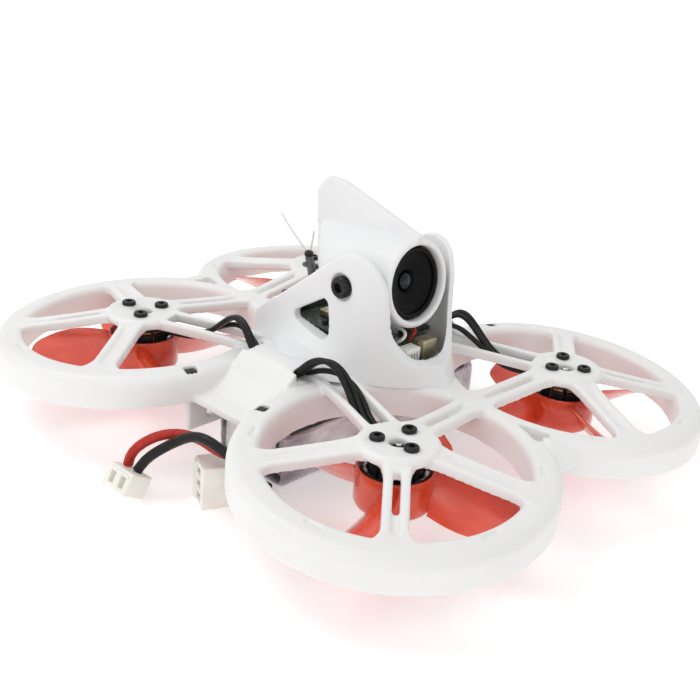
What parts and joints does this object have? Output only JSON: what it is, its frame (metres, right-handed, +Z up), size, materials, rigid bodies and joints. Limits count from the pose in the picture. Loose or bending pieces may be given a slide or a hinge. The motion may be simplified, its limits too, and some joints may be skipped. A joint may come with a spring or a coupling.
{
  "type": "fpv racing drone",
  "caption": "Small ducted racing quadcopter with a tilting camera in a canopy over its centre, ducted four-bladed propellers, and a slide-in battery pack that it stands on.",
  "frame": {"origin": "centre of the four ducts' box, on the battery's underside that it stands on", "axes": "+Z up, -Y the way the camera looks, +X towards the drone's own left"},
  "size_m": [0.0942, 0.1122, 0.0465],
  "materials": {
    "white_plastic": "satin injection moulding",
    "propeller": "translucent, glossy",
    "black_metal": "black oxide",
    "bell": "dark anodised",
    "copper": "enamelled copper wire",
    "black_wire": "silicone insulation",
    "red_wire": "silicone insulation",
    "circuit_board": "dark solder mask",
    "chip": "moulded package",
    "shield": "tinned shielding can",
    "camera_black": "fine matt black",
    "glass": "coated lens",
    "nylon": "milky nylon",
    "shrink_wrap": "heat-shrunk film",
    "cell_foil": "laminated pouch foil",
    "rubber": "soft silicone",
    "sleeve": "grey heat-shrink tube",
    "whisker": "clear fluoropolymer over thin wire"
  },
  "bodies": {
    "frame": {"duct_front_right": "white_plastic", "motor_mount_front_right": "white_plastic", "motor_stator_front_right": "black_metal", "motor_windings_front_right": "copper", "mount_screws_front_right": "black_metal", "motor_leads_front_right": "black_wire", "duct_rear_right": "white_plastic", "motor_mount_rear_right": "white_plastic", "motor_stator_rear_right": "black_metal", "motor_windings_rear_right": "copper", "mount_screws_rear_right": "black_metal", "motor_leads_rear_right": "black_wire", "duct_front_left": "white_plastic", "motor_mount_front_left": "white_plastic", "motor_stator_front_left": "black_metal", "motor_windings_front_left": "copper", "mount_screws_front_left": "black_metal", "motor_leads_front_left": "black_wire", "duct_rear_left": "white_plastic", "motor_mount_rear_left": "white_plastic", "motor_stator_rear_left": "black_metal", "motor_windings_rear_left": "copper", "mount_screws_rear_left": "black_metal", "motor_leads_rear_left": "black_wire", "centre_deck": "white_plastic", "duct_bridge_front": "white_plastic", "duct_bridge_rear": "white_plastic", "flight_controller_board": "circuit_board", "processor_chip": "chip", "board_gasket": "rubber", "video_transmitter_board": "circuit_board", "video_transmitter_can": "shield", "power_capacitor": "chip", "antenna_sleeve": "sleeve", "antenna_wire": "whisker", "canopy": "white_plastic", "canopy_screw": "black_metal"},
    "rotor_front_right": {"motor_bell_front_right": "bell", "propeller_front_right": "propeller"},
    "rotor_rear_right": {"motor_bell_rear_right": "bell", "propeller_rear_right": "propeller"},
    "rotor_front_left": {"motor_bell_front_left": "bell", "propeller_front_left": "propeller"},
    "rotor_rear_left": {"motor_bell_rear_left": "bell", "propeller_rear_left": "propeller"},
    "camera": {"camera_shell": "white_plastic", "camera_body": "camera_black", "lens_barrel": "camera_black", "lens_glass": "glass", "camera_pivot_screw_right": "black_metal", "camera_pivot_screw_left": "black_metal"},
    "battery": {"battery_sleeve": "shrink_wrap", "battery_cells": "cell_foil", "power_lead_red": "red_wire", "power_lead_black": "black_wire", "power_plug": "nylon", "balance_leads": "black_wire", "balance_plug": "nylon"}
  },
  "joints": [
    {"name": "front_right_motor_spin", "type": "hinge", "parent": "frame", "child": "rotor_front_right", "pos_m": [-0.022, -0.031, 0.0116], "axis": [0, 0, 1], "continuous": true},
    {"name": "rear_right_motor_spin", "type": "hinge", "parent": "frame", "child": "rotor_rear_right", "pos_m": [-0.022, 0.031, 0.0116], "axis": [0, 0, 1], "continuous": true},
    {"name": "front_left_motor_spin", "type": "hinge", "parent": "frame", "child": "rotor_front_left", "pos_m": [0.022, -0.031, 0.0116], "axis": [0, 0, 1], "continuous": true},
    {"name": "rear_left_motor_spin", "type": "hinge", "parent": "frame", "child": "rotor_rear_left", "pos_m": [0.022, 0.031, 0.0116], "axis": [0, 0, 1], "continuous": true},
    {"name": "camera_tilt", "type": "hinge", "parent": "frame", "child": "camera", "pos_m": [0, -0.006, 0.0327], "axis": [-1, 0, 0], "range_deg": [-8, 12]},
    {"name": "battery_slide", "type": "slide", "parent": "frame", "child": "battery", "axis": [-1, 0, 0], "range_m": [0, 0.06]}
  ]
}
